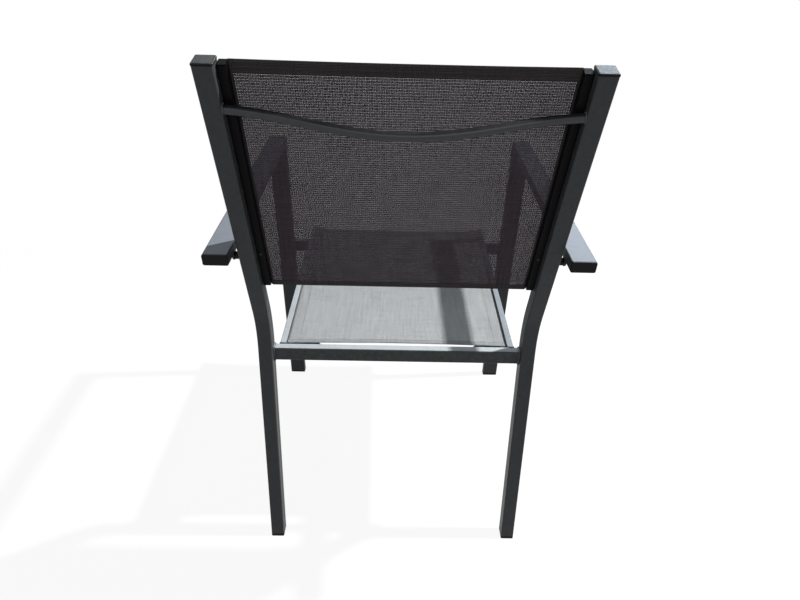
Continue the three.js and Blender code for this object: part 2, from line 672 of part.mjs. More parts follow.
const chair = new THREE.Group();
chair.name = 'patio_chair';
const capGroup = new THREE.Group();
capGroup.position.set(0, tubeTop.x, tubeTop.y);
capGroup.rotation.x = -backLean;
for (const side of sides) {
  capGroup.add(uprightCap(side));
  chair.add(rearLeg(side), rearFoot(side), frontLeg(side), frontFoot(side));
  chair.add(armrest(side), armrestEndCap(side));
  chair.add(armTab(side), armSpacer(side), armInsert(side), armBolt(side), seatGusset(side));
}
chair.add(capGroup, rearCrossbar(), frontCrossbar(), seatPanel(), backPanel(), backBrace());

// The origin is on the ground under the middle of the chair's length.
const braceMiddle = tubeTop.clone()
  .addScaledVector(backForward, braceInset - braceBow * Math.cos(braceTilt))
  .addScaledVector(backUp, -braceDrop - braceBow * Math.sin(braceTilt));
const rearmostY = braceMiddle.x + braceDiameter / 2;
chair.position.y = -(rearmostY + seatFrontY) / 2;

export default chair;
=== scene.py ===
# A stacking patio armchair with mesh slings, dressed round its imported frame.
# The pieces are made in millimetres and scaled to metres when each is finished.
import json
import math

import bmesh
import bpy
from mathutils import Matrix, Vector, noise


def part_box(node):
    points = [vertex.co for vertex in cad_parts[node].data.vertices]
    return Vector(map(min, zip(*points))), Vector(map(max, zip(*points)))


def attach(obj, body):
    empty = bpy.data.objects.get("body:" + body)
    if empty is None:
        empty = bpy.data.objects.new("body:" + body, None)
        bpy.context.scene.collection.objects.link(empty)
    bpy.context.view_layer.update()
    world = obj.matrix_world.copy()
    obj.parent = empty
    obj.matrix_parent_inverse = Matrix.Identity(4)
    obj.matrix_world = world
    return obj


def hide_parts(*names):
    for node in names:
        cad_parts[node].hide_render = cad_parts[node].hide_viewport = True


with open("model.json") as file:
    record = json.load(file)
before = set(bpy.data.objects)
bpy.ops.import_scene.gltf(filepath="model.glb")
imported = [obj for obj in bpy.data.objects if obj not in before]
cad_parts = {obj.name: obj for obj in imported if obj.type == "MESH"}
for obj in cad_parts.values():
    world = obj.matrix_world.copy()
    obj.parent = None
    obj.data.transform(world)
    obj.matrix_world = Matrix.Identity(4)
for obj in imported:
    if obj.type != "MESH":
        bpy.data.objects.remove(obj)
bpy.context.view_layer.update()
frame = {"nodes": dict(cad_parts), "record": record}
scene = bpy.context.scene
mm = 0.001
print("frame loaded:", len(frame["nodes"]), "nodes")

# The chair's lines, in mm, y = 0 at the rear edge of the rear feet until shiftY is added
chair = {
    "rearWidth": 490, "tube": 25, "tubeHeight": 890.5, "bendHeight": 450, "bendRadius": 177,
    "legLean": 11.35, "backLean": 14.57, "rearFoot": 6, "frontFoot": 6, "seam": 0.3,
    "footSpread": 536, "barWidth": 15.5, "barHeight": 27, "barTop": 407, "barInset": 9,
    "armWidth": 38, "armDepth": 18, "armGap": 6.5, "armHeight": 628.5, "armTail": 35.5, "armPitch": 3.12,
    "railWidth": 11.5, "railDepth": 16, "slotDepth": 5, "seatWidth": 421.5, "seatPitch": 2.4,
    "seatOverhang": 34, "railCap": 1.5, "backSetback": 12.5, "backDrop": 4.5, "backAboveBend": 95,
}
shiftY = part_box("rear_foot_left")[1].y / mm
across, rearward, upward = Vector((1, 0, 0)), Vector((0, 1, 0)), Vector((0, 0, 1))
legLean, backLean = math.radians(chair["legLean"]), math.radians(chair["backLean"])
armPitch, seatPitch = math.radians(chair["armPitch"]), math.radians(chair["seatPitch"])
legForward = Vector((0, -math.cos(legLean), -math.sin(legLean)))
backUp = Vector((0, math.sin(backLean), math.cos(backLean)))
backForward = Vector((0, -math.cos(backLean), math.sin(backLean)))
armForward = Vector((0, -math.cos(armPitch), math.sin(armPitch)))
armUp = Vector((0, math.sin(armPitch), math.cos(armPitch)))
seatUp = Vector((0, math.sin(seatPitch), math.cos(seatPitch)))

bendCorner = Vector((0, shiftY - chair["bendHeight"] * math.tan(legLean), chair["bendHeight"]))
backLength = (chair["tubeHeight"] - chair["bendHeight"]) / math.cos(backLean)
tubeTop = bendCorner + backUp * backLength
tubeMiddle = tubeTop + backForward * chair["tube"] / 2
tubeX = (chair["rearWidth"] - chair["tube"]) / 2
innerX = chair["rearWidth"] / 2 - chair["tube"]
armX = chair["rearWidth"] / 2 + chair["armGap"] + chair["armWidth"] / 2
frontY = shiftY - chair["footSpread"]
armRear = Vector((0, tubeMiddle.y - (tubeMiddle.z - chair["armHeight"]) * math.tan(backLean)
                  + chair["armTail"], chair["armHeight"]))
barRearY = shiftY - chair["barTop"] * math.tan(legLean) - chair["barInset"]
barFrontY = barRearY - chair["barWidth"]
sides = (("Left", 1), ("Right", -1))

# Distances under which places count as one, and the segments of each kind of rounding
same = {"cut": 0.0001, "merge": 0.0005, "rim": 0.001, "band": 0.001}
rounds = {"corner": 4, "rim": 3, "edge": 2, "lobe": 8}
# A direction that nothing here is square to, so that it tells an outline's corners apart
skew = Vector((0.31, 0.53, 0.79))


# Mesh helpers
def axes(origin, xAxis, yAxis):
    turn = Matrix((xAxis, yAxis, xAxis.cross(yAxis))).transposed().to_4x4()
    return Matrix.Translation(origin) @ turn


def pull(bm, faces, move):
    grown = bmesh.ops.extrude_face_region(bm, geom=faces)["geom"]
    bmesh.ops.translate(bm, vec=move, verts=[part for part in grown if isinstance(part, bmesh.types.BMVert)])
    return [part for part in grown if isinstance(part, bmesh.types.BMFace)]


def soften(bm, geom, radius, steps, kind="EDGES"):
    bmesh.ops.bevel(bm, geom=geom, offset=radius, segments=steps, profile=0.5, affect=kind, material=-1)


def section(width, depth, radius):
    bm = bmesh.new()
    corners = bmesh.ops.create_grid(bm, x_segments=1, y_segments=1, size=0.5)["verts"]
    bmesh.ops.scale(bm, vec=(width, depth, 1), verts=corners)
    soften(bm, corners, radius, rounds["corner"], "VERTICES")
    return bm


def steady(loop):
    # the same outline from a fixed corner and a fixed way round, as an operator's own order varies
    reaches = [point.dot(skew) for point in loop]
    first = reaches.index(max(reaches))
    loop = loop[first:] + loop[:first]
    return loop if loop[1].dot(skew) > loop[-1].dot(skew) else loop[:1] + loop[:0:-1]


def outlineOf(width, depth, radius, matrix):
    bm = section(width, depth, radius)
    bm.faces.ensure_lookup_table()
    loop = [matrix @ vert.co for vert in bm.faces[0].verts]
    bm.free()
    return steady(loop)


def bar(width, depth, radius, length):
    bm = section(width, depth, radius)
    pull(bm, bm.faces[:], (0, 0, length))
    return bm


def everything(bm):
    return bm.verts[:] + bm.edges[:] + bm.faces[:]


def cutOff(bm, point, normal):
    # removes what lies on the normal's side, closes the cut and returns its outline
    cut = bmesh.ops.bisect_plane(bm, geom=everything(bm), dist=same["cut"], plane_co=point,
                                 plane_no=normal, clear_outer=True)["geom_cut"]
    rim = [part for part in cut if isinstance(part, bmesh.types.BMEdge)]
    made = bmesh.ops.contextual_create(bm, geom=rim)
    return steady([vert.co.copy() for vert in made["faces"][0].verts])


def roundRim(bm, height, radius):
    rim = [edge for edge in bm.edges
           if all(abs(vert.co.z - height) < same["rim"] for vert in edge.verts)]
    soften(bm, rim, radius, rounds["rim"])


def placed(bm, matrix):
    bmesh.ops.transform(bm, matrix=matrix, verts=bm.verts[:])
    return bm


def together(parts):
    whole = bmesh.new()
    for part in parts:
        holder = bpy.data.meshes.new("holder")
        part.to_mesh(holder)
        part.free()
        whole.from_mesh(holder)
        bpy.data.meshes.remove(holder)
    return whole


def finishPiece(name, bm, material, slot, stands=(), sharpAngle=35, flatNormals=True, recalc=True):
    bmesh.ops.remove_doubles(bm, verts=bm.verts[:], dist=same["merge"])
    if recalc:
        bmesh.ops.recalc_face_normals(bm, faces=bm.faces[:])
    bmesh.ops.scale(bm, vec=(mm, mm, mm), verts=bm.verts[:])
    mesh = bpy.data.meshes.new(name)
    bm.to_mesh(mesh)
    bm.free()
    mesh.materials.append(material)
    mesh.shade_smooth()
    mesh.set_sharp_from_angle(angle=math.radians(sharpAngle))
    piece = bpy.data.objects.new(name, mesh)
    scene.collection.objects.link(piece)
    if flatNormals:
        piece.modifiers.new("flat faces", "WEIGHTED_NORMAL").keep_sharp = True
    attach(piece, "root")
    if stands:
        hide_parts(*stands)
    return piece


def walk(points, step, closed):
    # the same path again, in even steps
    ring = list(points) + [points[0]] if closed else list(points)
    lengths = [0]
    for here, there in zip(ring, ring[1:]):
        lengths.append(lengths[-1] + (there - here).length)
    count = max(3, round(lengths[-1] / step))
    path, leg = [], 0
    for index in range(count if closed else count + 1):
        target = lengths[-1] * index / count
        while leg < len(ring) - 2 and lengths[leg + 1] < target:
            leg += 1
        share = (target - lengths[leg]) / max(lengths[leg + 1] - lengths[leg], 1e-9)
        path.append(ring[leg].lerp(ring[leg + 1], min(share, 1)))
    return path


def swept(path, radius, rings, closed=False, sizes=None):
    curve = bpy.data.curves.new("swept", "CURVE")
    curve.dimensions = "3D"
    curve.bevel_depth = radius
    curve.bevel_resolution = rings
    curve.use_fill_caps = not closed
    spline = curve.splines.new("POLY")
    spline.points.add(len(path) - 1)
    for index, (point, place) in enumerate(zip(spline.points, path)):
        point.co = (*place, 1)
        point.radius = sizes[index] if sizes else 1
    spline.use_cyclic_u = closed
    holder = bpy.data.objects.new("swept", curve)
    mesh = bpy.data.meshes.new_from_object(holder)
    bm = bmesh.new()
    bm.from_mesh(mesh)
    bpy.data.objects.remove(holder)
    bpy.data.curves.remove(curve)
    bpy.data.meshes.remove(mesh)
    return bm


weldBeads = {"step": 0.7, "rings": 2, "ripple": 2.3, "swell": 0.16, "middle": 0.6, "unevenness": 0.12,
             "roughScale": 0.35, "tip": 0.45, "tipGrowth": 0.3}
beads = []


def weld(points, size, closed=True):
    path = walk(points, weldBeads["step"], closed)
    swells = []
    for index, place in enumerate(path):
        turn = math.pi * index * weldBeads["step"] / weldBeads["ripple"]
        wave = weldBeads["swell"] * (abs(math.sin(turn)) - weldBeads["middle"])
        rough = noise.noise(place * weldBeads["roughScale"]) * weldBeads["unevenness"]
        fromTip = min(index, len(path) - 1 - index)
        taper = 1 if closed else min(1, weldBeads["tip"] + weldBeads["tipGrowth"] * fromTip)
        swells.append(taper * (1 + wave + rough))
    beads.append(swept(path, size, weldBeads["rings"], closed, swells))


# Finishes
class Wire:
    def __init__(self, board, socket):
        self.board, self.socket = board, socket

    def __add__(self, other):
        return self.board.maths("ADD", self, other)

    __radd__ = __add__

    def __mul__(self, other):
        return self.board.maths("MULTIPLY", self, other)

    __rmul__ = __mul__

    def __sub__(self, other):
        return self.board.maths("SUBTRACT", self, other)

    def __rsub__(self, other):
        return self.board.maths("SUBTRACT", other, self)

    def __truediv__(self, other):
        return self.board.maths("DIVIDE", self, other)

    def __rtruediv__(self, other):
        return self.board.maths("DIVIDE", other, self)


class Board:
    def __init__(self, tree):
        self.tree = tree
        tree.nodes.clear()

    def plug(self, socket, value):
        if isinstance(value, Wire):
            self.tree.links.new(value.socket, socket)
        else:
            socket.default_value = value

    def node(self, kind, settings=None, sockets=None, out=0):
        made = self.tree.nodes.new("ShaderNode" + kind)
        for name, value in (settings or {}).items():
            setattr(made, name, value)
        for name, value in (sockets or {}).items():
            self.plug(made.inputs[name], value)
        return Wire(self, made.outputs[out]) if made.outputs else None

    def maths(self, operation, first, second=0.0):
        return self.node("Math", {"operation": operation}, {0: first, 1: second})

    def mix(self, share, first, second):
        return self.node("Mix", {"data_type": "RGBA"}, {0: share, 6: first, 7: second}, out=2)

    def speckle(self, vector, size, detail=2.0, roughness=0.5):
        return self.node("TexNoise", None, {"Vector": vector, "Scale": 1 / size, "Detail": detail,
                                            "Roughness": roughness})

    def ramp(self, value, low, high):
        return self.node("MapRange", None, {"Value": value, "From Min": low, "From Max": high})

    def seen(self):
        # 1 for the rays that see the background: straight, mirrored or let through
        rays = [self.node("LightPath", out=name) for name in
                ("Is Camera Ray", "Is Glossy Ray", "Is Transmission Ray")]
        return self.node("Clamp", None, {"Value": rays[0] + rays[1] + rays[2]})


class Finish(Board):
    def __init__(self, name, specular=0.5):
        self.material = bpy.data.materials.new(name)
        self.material.use_nodes = True
        super().__init__(self.material.node_tree)
        shader = self.node("BsdfPrincipled", None, {"Specular IOR Level": specular})
        self.surface = shader.socket.node
        self.node("OutputMaterial", None, {"Surface": shader})

    def bump(self, height, depth):
        self.set(Normal=self.node("Bump", None, {"Distance": depth, "Height": height}))

    def set(self, **values):
        for name, value in values.items():
            self.plug(self.surface.inputs[name.replace("_", " ")], value)


def shade(red, green, blue):
    # an sRGB colour, 0 to 255, as the shader's linear one
    parts = [(part / 255 / 12.92) if part <= 10 else ((part / 255 + 0.055) / 1.055) ** 2.4
             for part in (red, green, blue)]
    return (*parts, 1)


# A cloudy pattern is given by its size in metres, its detail and its roughness
coat = {"peel": 0.0011, "peelDepth": 0.00007, "cloud": (0.07, 4, 0.6), "cloudShare": 0.6,
        "grime": (0.008, 3, 0.7), "grimeRange": (0.3, 0.7), "grimeTint": 0.06, "grimeDepth": 0.4,
        "patches": (0.35, 0.65), "patchy": 0.25, "level": (0.8, 0.97), "roughness": 0.36,
        "unevenness": 0.1, "specular": 0.12}


def powderCoat(name, colour, dustAndPaintedLight, dustAndPaintedLightStrength=0.9, extraRoughness=0.0, lumps=1.0, specular=coat["specular"],
               level=coat["level"]):
    # the top tone lies where the coat looks up: dust, with a painted sheen for light from above on most
    # coats and a painted shade on the bowed bar; level says how near to level that is
    finish = Finish(name, specular)
    place = finish.node("TexCoord", out="Object")
    peel = finish.speckle(place, coat["peel"])
    cloud = finish.speckle(place, *coat["cloud"])
    grime = finish.speckle(place, *coat["grime"])
    up = finish.node("SeparateXYZ", None, {"Vector": finish.node("NewGeometry", out="Normal")}, out="Z")
    patches = finish.ramp(cloud * coat["cloudShare"] + grime * (1 - coat["cloudShare"]), *coat["patches"])
    dustAndPaintedLightMask = finish.ramp(up, *level) * (1 - coat["patchy"] + patches * coat["patchy"])
    stained = finish.ramp(grime, *coat["grimeRange"]) * coat["grimeTint"]
    base = finish.mix(stained, shade(*colour), shade(*dustAndPaintedLight))
    finish.set(Base_Color=finish.mix(dustAndPaintedLightMask * dustAndPaintedLightStrength, base, shade(*dustAndPaintedLight)),
               Roughness=(coat["roughness"] + extraRoughness + dustAndPaintedLightMask * coat["unevenness"]
                          + cloud * coat["unevenness"]))
    finish.bump(peel * lumps + grime * coat["grimeDepth"], coat["peelDepth"])
    return finish.material


plastic = {"depth": 0.00005, "scuff": (0.006, 4, 0.7), "scuffRange": (0.55, 0.8), "scuffTint": 0.35,
           "paler": 26, "scuffRoughness": 0.12}


def mouldedPlastic(name, colour, roughness, grain, specular=0.3):
    finish = Finish(name, specular)
    place = finish.node("TexCoord", out="Object")
    scuffs = finish.ramp(finish.speckle(place, *plastic["scuff"]), *plastic["scuffRange"])
    paler = shade(*(part + plastic["paler"] for part in colour))
    finish.set(Base_Color=finish.mix(scuffs * plastic["scuffTint"], shade(*colour), paler),
               Roughness=roughness + scuffs * plastic["scuffRoughness"])
    finish.bump(finish.speckle(place, grain), plastic["depth"])
    return finish.material


steel = {"grain": 0.0006, "depth": 0.00003, "tone": (0.004, 3, 0.6), "roughness": 0.28,
         "unevenness": 0.2}


def platedSteel(name, dark, pale):
    finish = Finish(name)
    place = finish.node("TexCoord", out="Object")
    tone = finish.speckle(place, *steel["tone"])
    finish.set(Base_Color=finish.mix(tone, shade(*dark), shade(*pale)), Metallic=1.0,
               Roughness=steel["roughness"] + tone * steel["unevenness"])
    finish.bump(finish.speckle(place, steel["grain"]), steel["depth"])
    return finish.material


# Of two numbers the first is for the yarns that run along the piece, the second for those across it
weave = {"pitch": (0.0015, 0.0017), "gaps": (0.25, 0.26), "pairing": (0.032, 0.046), "rise": 0.62,
         "wave": 0.38, "crown": 0.00035, "full": 0.6, "hollowPaintedShade": 0.55, "hollowRoughness": 0.1,
         "slubShares": (0.25, 0.15)}
tints = {"streakScale": 0.83, "streakLength": 0.02, "streakRange": (0.3, 0.7), "streakShare": 0.45,
         "blotch": (0.07, 3, 0.6), "blotchRange": (0.35, 0.7), "blotchShare": 0.15,
         "slub": 0.0045, "slubLength": 0.07, "slubRange": (0.35, 0.65)}


def woven(name, darkYarn, paleYarn, roughness, specular, closedFrom=0.0, sheen=0.0):
    # woven coated yarns in pairs, laid out by the piece's flat coordinates; closedFrom is how
    # far from the middle a doubled side begins, in metres, and 0 means doubled all over
    finish = Finish(name, specular)

    def squeezed(places, share):
        # places pressed together along the yarns, for each of the two ways that yarns run
        return [finish.node("CombineXYZ", None, {"X": places[0] * ownX, "Y": places[1] * ownY})
                for ownX, ownY in ((1, share), (share, 1))]

    flat = finish.node("UVMap", {"uv_map": "flat"})
    split = [finish.node("SeparateXYZ", None, {"Vector": flat}, out=part) for part in ("X", "Y")]
    cells = [part / pitch for part, pitch in zip(split, weave["pitch"])]
    ids = [finish.maths("FLOOR", cell) for cell in cells]
    offs = [finish.maths("FRACT", cell) - 0.5 for cell in cells]
    sidesOfPairs = [finish.maths("FLOORED_MODULO", each, 2.0) * 2 - 1 for each in ids]
    offs = [off + which * nudge for off, which, nudge in zip(offs, sidesOfPairs, weave["pairing"])]
    halves = [(1 - gap) / 2 for gap in weave["gaps"]]
    aside = [finish.maths("ABSOLUTE", off) for off in offs]
    sinks = [finish.maths("POWER", far / half, 2.0) for far, half in zip(aside, halves)]
    crowns = [finish.maths("MAXIMUM", 1 - sink, 0.0) for sink in sinks]
    waves = [finish.maths("COSINE", (ids[0] + off + ids[1]) * math.pi) for off in (offs[1], offs[0])]
    warp = crowns[0] * (weave["rise"] + waves[0] * weave["wave"])
    weft = crowns[1] * (weave["rise"] - waves[1] * weave["wave"])
    height = finish.maths("MAXIMUM", warp, weft)
    streaks = [finish.node("TexNoise", None, {"Scale": tints["streakScale"], "Detail": 1.0, "Vector": place})
               for place in squeezed(ids, tints["streakLength"])]
    streaks = [finish.ramp(streak, *tints["streakRange"]) for streak in streaks]
    onTop = finish.maths("GREATER_THAN", warp, weft)
    tint = streaks[0] * onTop + streaks[1] * (1 - onTop)
    patch = finish.ramp(finish.speckle(flat, *tints["blotch"]), *tints["blotchRange"])
    slubs = [finish.ramp(finish.speckle(place, tints["slub"]), *tints["slubRange"]) * share for place, share
             in zip(squeezed(split, tints["slubLength"]), weave["slubShares"])]
    paleness = tint * tints["streakShare"] + patch * tints["blotchShare"] + slubs[0] + slubs[1]
    yarn = finish.mix(paleness, shade(*darkYarn), shade(*paleYarn))
    # Yarns are painted darker where they dip into the weave: a painted shade in the hollows.
    bulge = finish.ramp(height, 0.0, weave["full"])
    hollowPaintedShade = shade(*(part * weave["hollowPaintedShade"] for part in darkYarn))
    finish.set(Base_Color=finish.mix(bulge, hollowPaintedShade, yarn),
               Roughness=roughness + weave["hollowRoughness"] * (1 - bulge), Sheen_Weight=sheen)
    finish.bump(height, weave["crown"])
    if closedFrom:
        holes = [finish.maths("GREATER_THAN", far, half) for far, half in zip(aside, halves)]
        single = finish.maths("LESS_THAN", finish.maths("ABSOLUTE", split[0]), closedFrom)
        finish.set(Alpha=1 - holes[0] * holes[1] * single)
    return finish.material


# The top tones of these coats are dust and a painted sheen that lightens the tops as if lit from above, most
# strongly on the crossbar and seat-rail coats.
frameCoat = powderCoat("anthracite powder coat", (65, 66, 67), (126, 133, 143))
barCoat = powderCoat("powder coat, dust and painted sheen on top", (62, 64, 64), (186, 194, 200))
seatRailCoat = powderCoat("powder coat on a seat rail", (62, 64, 64), (146, 154, 162))
weldCoat = powderCoat("powder coat over welds", (67, 69, 72), (168, 175, 181), extraRoughness=0.02,
                      lumps=2.0, specular=0.3)
# The bowed bar's coat is painted near black on its upper side, a painted shade for the back sling over it.
# Its lower side is painted lighter than the frame coat, as if lit from below.
bowedCoat = powderCoat("powder coat with painted shade on top", (84, 85, 88), (12, 12, 14), dustAndPaintedLightStrength=1.0, extraRoughness=-0.14,
                       specular=0.1, level=(0.4, 0.62))
railCoat = powderCoat("black rail coat", (16, 16, 18), (34, 34, 37), dustAndPaintedLightStrength=0.4, extraRoughness=0.05,
                      specular=0.05)
plugPlastic = mouldedPlastic("black moulded plastic", (9, 9, 11), roughness=0.42, grain=0.0005,
                             specular=0.12)
railPlastic = mouldedPlastic("dull black plastic", (14, 13, 13), roughness=0.6, grain=0.0005,
                             specular=0.02)
splineVinyl = mouldedPlastic("vinyl rod", (34, 34, 36), roughness=0.45, grain=0.001)
boltSteel = platedSteel("zinc plated steel", (120, 122, 126), (172, 174, 178))
screwSteel = platedSteel("blackened steel", (26, 26, 28), (44, 44, 47))
# The back and seat slings are one fabric in two copies: the back's darkened as painted shade, the seat's
# lightened as painted sunlight, and their doubled hems the same.
backCloth = woven("back mesh, darkened as painted shade", (47, 42, 46), (80, 69, 79), roughness=0.6, specular=0.14,
                  closedFrom=0.2052)
seatCloth = woven("seat mesh, lightened as painted sunlight", (152, 156, 159), (193, 197, 199), roughness=0.55, specular=0.08,
                  closedFrom=0.178, sheen=0.1)
backHemCloth = woven("back mesh doubled, darkened as painted shade", (56, 53, 53), (80, 76, 76), roughness=0.65, specular=0.08)
seatHemCloth = woven("seat mesh doubled, lightened as painted sunlight", (146, 149, 153), (185, 189, 192), roughness=0.6,
                     specular=0.08)
backThread = mouldedPlastic("charcoal thread", (84, 79, 81), roughness=0.6, grain=0.0003)
seatThread = mouldedPlastic("grey thread", (112, 110, 119), roughness=0.6, grain=0.0003)
print("finishes made:", len(bpy.data.materials))

slotFinish = {"powder_coat": frameCoat, "rail_coat": railCoat, "plug_plastic": plugPlastic,
              "spline_vinyl": splineVinyl, "zinc_steel": boltSteel, "black_steel": screwSteel,
              "back_mesh": backCloth, "seat_mesh": seatCloth}
for part in frame["record"]["subparts"]:
    node = frame["nodes"][part["node"]]
    ownFinish = railPlastic if part["node"].startswith("back_rail") and "cap" in part["node"] else None
    node.data.materials.clear()
    node.data.materials.append(ownFinish or slotFinish[part["material_slot"]])

# Bent rear tubes, with their feet and caps
rearTube = {"corner": 2.2, "bendSteps": 16, "spare": 10, "footLength": 30, "footRound": 1.2,
            "capLip": 0.4, "capCorner": 2.4, "capHead": 3, "capRound": 1.8}
bend = legLean + backLean
tangent = chair["bendRadius"] / math.tan((math.pi - bend) / 2)
legRun = chair["bendHeight"] / math.cos(legLean) - tangent
tubeSide, spare = chair["tube"], rearTube["spare"]
for name, sign in sides:
    tube = section(tubeSide, tubeSide, rearTube["corner"])
    bmesh.ops.translate(tube, vec=(0, 0, -spare), verts=tube.verts[:])
    tip = pull(tube, tube.faces[:], (0, 0, legRun + spare))
    centre = Vector((0, tubeSide / 2 + chair["bendRadius"], legRun))
    turned = bmesh.ops.spin(tube, geom=tip, cent=centre, axis=(1, 0, 0), angle=-bend,
                            steps=rearTube["bendSteps"], use_merge=False)["geom_last"]
    tip = [part for part in turned if isinstance(part, bmesh.types.BMFace)]
    pull(tube, tip, Vector((0, math.sin(bend), math.cos(bend))) * (backLength - tangent))
    bmesh.ops.delete(tube, geom=[face for face in tip if face.is_valid], context="FACES_ONLY")
    leg = axes(Vector((sign * tubeX, shiftY, 0)) + legForward * tubeSide / 2, across, -legForward)
    placed(tube, leg)
    cutOff(tube, (0, 0, chair["rearFoot"]), (0, 0, -1))
    finishPiece("rearTube" + name, tube, frameCoat, "powder_coat", ["rear_leg_" + name.lower()])

    foot = placed(bar(tubeSide, tubeSide, rearTube["corner"], rearTube["footLength"]),
                  leg @ Matrix.Translation((0, 0, -spare)))
    cutOff(foot, (0, 0, chair["rearFoot"] - chair["seam"]), (0, 0, 1))
    cutOff(foot, (0, 0, 0), (0, 0, -1))
    roundRim(foot, 0, rearTube["footRound"])
    finishPiece("rearFoot" + name, foot, plugPlastic, "plug_plastic", ["rear_foot_" + name.lower()])

    wide = tubeSide + 2 * rearTube["capLip"]
    cap = bar(wide, wide, rearTube["capCorner"], rearTube["capHead"])
    roundRim(cap, rearTube["capHead"], rearTube["capRound"])
    crown = axes(tubeMiddle + across * sign * tubeX + backUp * chair["seam"], across, -backForward)
    finishPiece("uprightCap" + name, placed(cap, crown), plugPlastic, "plug_plastic",
                ["upright_cap_" + name.lower()])
print("rear tubes made")

# Arms and front legs
arms = {"corner": 2.6, "plugHead": 3, "plugRound": 0.9, "bead": 0.55}
mitreOuter = Vector((0, frontY, armRear.z + (armRear.y - frontY) * math.tan(armPitch)))
mitreWay = Vector((0, math.cos(armPitch), -math.sin(armPitch) - 1)).normalized()
mitreSide = Vector((0, -mitreWay.z, mitreWay.y))
width, depth = chair["armWidth"], chair["armDepth"]
halfSeam = mitreSide * chair["seam"] / 2
for name, sign in sides:
    sideways = across * sign * armX
    arm = bar(width, depth, arms["corner"], (mitreOuter - armRear).length + depth)
    placed(arm, axes(armRear + sideways - armUp * depth / 2, across, armUp))
    joint = cutOff(arm, mitreOuter + halfSeam, -mitreSide)
    finishPiece("arm" + name, arm, frameCoat, "powder_coat", ["armrest_" + name.lower()])
    weld([point - halfSeam for point in joint], arms["bead"])

    post = bar(width, depth, arms["corner"], mitreOuter.z)
    stand = Vector((0, frontY + depth / 2, chair["frontFoot"])) + sideways
    placed(post, axes(stand, across, rearward))
    cutOff(post, mitreOuter - halfSeam, mitreSide)
    finishPiece("frontLeg" + name, post, frameCoat, "powder_coat", ["front_leg_" + name.lower()])

    sole = bar(width, depth, arms["corner"], chair["frontFoot"] - chair["seam"])
    roundRim(sole, 0, rearTube["footRound"])
    placed(sole, Matrix.Translation(Vector((0, frontY + depth / 2, 0)) + sideways))
    finishPiece("frontFoot" + name, sole, plugPlastic, "plug_plastic", ["front_foot_" + name.lower()])

    plug = bar(width, depth, arms["corner"], arms["plugHead"])
    roundRim(plug, arms["plugHead"], arms["plugRound"])
    end = armRear + sideways - armUp * depth / 2 - armForward * chair["seam"]
    placed(plug, axes(end, -across, armUp))
    finishPiece("armPlug" + name, plug, plugPlastic, "plug_plastic", ["armrest_end_cap_" + name.lower()])
print("arms and front legs made")

# Crossbars
crossbars = {"corner": 2.6, "bead": 1.8, "beadIn": 0.9, "beadOut": 0.6}
tall, deep = chair["barHeight"], chair["barWidth"]
frontBarRear = frontY + chair["armDepth"] - (chair["armDepth"] - deep) / 2
frontBarTop = (chair["barTop"] + (barFrontY - frontBarRear) * math.tan(seatPitch)
               - chair["railDepth"] / math.cos(seatPitch) - chair["seam"])
for label, node, rearY, topZ, reach in (
        ("rearCrossbar", "rear_crossbar", barRearY, chair["barTop"], innerX),
        ("frontCrossbar", "front_crossbar", frontBarRear, frontBarTop, armX - chair["armWidth"] / 2)):
    half = reach - chair["seam"]
    middle = Vector((0, rearY - deep / 2, topZ - tall / 2))
    crossbar = placed(bar(deep, tall, crossbars["corner"], 2 * half),
                      axes(middle - across * half, rearward, upward))
    finishPiece(label, crossbar, barCoat, "powder_coat", [node])
    for sign in (1, -1):
        joint = axes(middle + across * sign * (reach - crossbars["beadIn"]), rearward, upward)
        weld(outlineOf(deep + crossbars["beadOut"], tall + crossbars["beadOut"], crossbars["corner"], joint),
             crossbars["bead"])
print("crossbars made")

# Sling rails: a panel has x across, y toward the sitter and z along its rails
rail = {"corner": 1.3, "slot": 2.0, "slotReach": 3.6, "bead": 1.0, "beadIn": 0.7, "beadOut": 0.5,
        "footBead": 1.1, "footLift": 0.3}
faceDepth = chair["backSetback"] + chair["railDepth"]
backOrigin = tubeTop + backForward * faceDepth - backUp * chair["backDrop"]
seatOrigin = Vector((0, barFrontY - chair["seam"], chair["barTop"]))
seatLength = ((barFrontY - chair["seam"] - frontY + chair["seatOverhang"]) / math.cos(seatPitch)
              - chair["railCap"] - chair["seam"])
panels = {
    "back": {"axes": axes(backOrigin, across, backForward), "outer": innerX - chair["seam"],
             "length": backLength - chair["backDrop"] - chair["backAboveBend"],
             "coats": (railCoat, railCoat), "slot": "rail_coat"},
    "seat": {"axes": axes(seatOrigin, across, seatUp), "outer": chair["seatWidth"] / 2, "length": seatLength,
             "coats": (barCoat, seatRailCoat), "slot": "powder_coat"},
}


def railPlace(panel, sign, height):
    centre = Vector((sign * (panel["outer"] - chair["railWidth"] / 2), -chair["railDepth"] / 2, height))
    return panel["axes"] @ Matrix.Translation(centre)


def slottedRail(panel, sign):
    bm = section(chair["railWidth"], chair["railDepth"], rail["corner"])
    slotY = chair["railDepth"] / 2 - chair["slotDepth"]
    mouthX = -sign * chair["railWidth"] / 2
    for point, normal in (((0, slotY - rail["slot"] / 2, 0), (0, 1, 0)),
                          ((0, slotY + rail["slot"] / 2, 0), (0, 1, 0)),
                          ((mouthX + sign * rail["slotReach"], 0, 0), (1, 0, 0))):
        bmesh.ops.bisect_plane(bm, geom=everything(bm), dist=same["cut"], plane_co=point, plane_no=normal)
    slot = [face for face in bm.faces if abs(face.calc_center_median().y - slotY) < rail["slot"] / 2
            and abs(face.calc_center_median().x - mouthX) < rail["slotReach"]]
    bmesh.ops.delete(bm, geom=slot, context="FACES")
    pull(bm, bm.faces[:], (0, 0, panel["length"]))
    return placed(bm, railPlace(panel, sign, 0))


